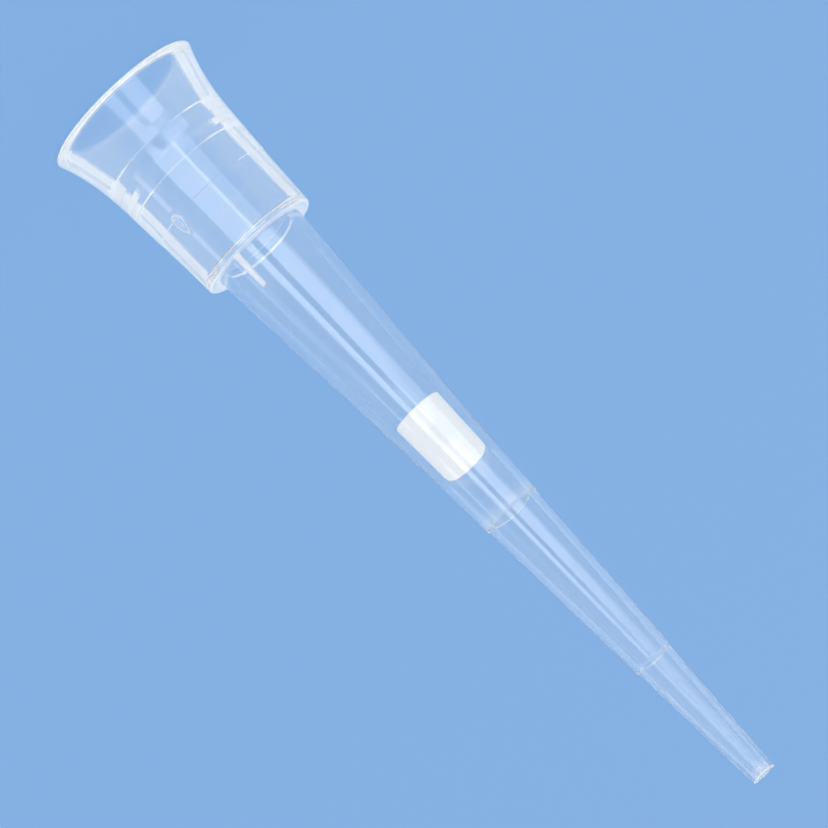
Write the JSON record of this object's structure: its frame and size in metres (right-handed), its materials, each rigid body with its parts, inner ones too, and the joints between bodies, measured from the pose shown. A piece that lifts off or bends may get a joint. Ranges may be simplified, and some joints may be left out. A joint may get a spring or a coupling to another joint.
{
  "type": "filtered pipette tip",
  "caption": "Small clear pipette tip: a flared socket hub, a long tapered shaft with graduation steps, and a white barrier plug in its bore.",
  "frame": {"origin": "centre of the rim, in the plane that the tip stands on", "axes": "+Z along the tip's axis, from the rim to the orifice; the tip stands mouth down on its rim"},
  "size_m": [0.006, 0.006, 0.0315],
  "materials": {
    "clear_polypropylene": "clear moulded polypropylene, faintly milky, glossy outside and in the bore",
    "porous_polyethylene": "white sintered porous polyethylene, matte with fine grains and pores"
  },
  "bodies": {
    "root": {"tip_body": "clear_polypropylene", "filter": "porous_polyethylene"}
  },
  "joints": []
}
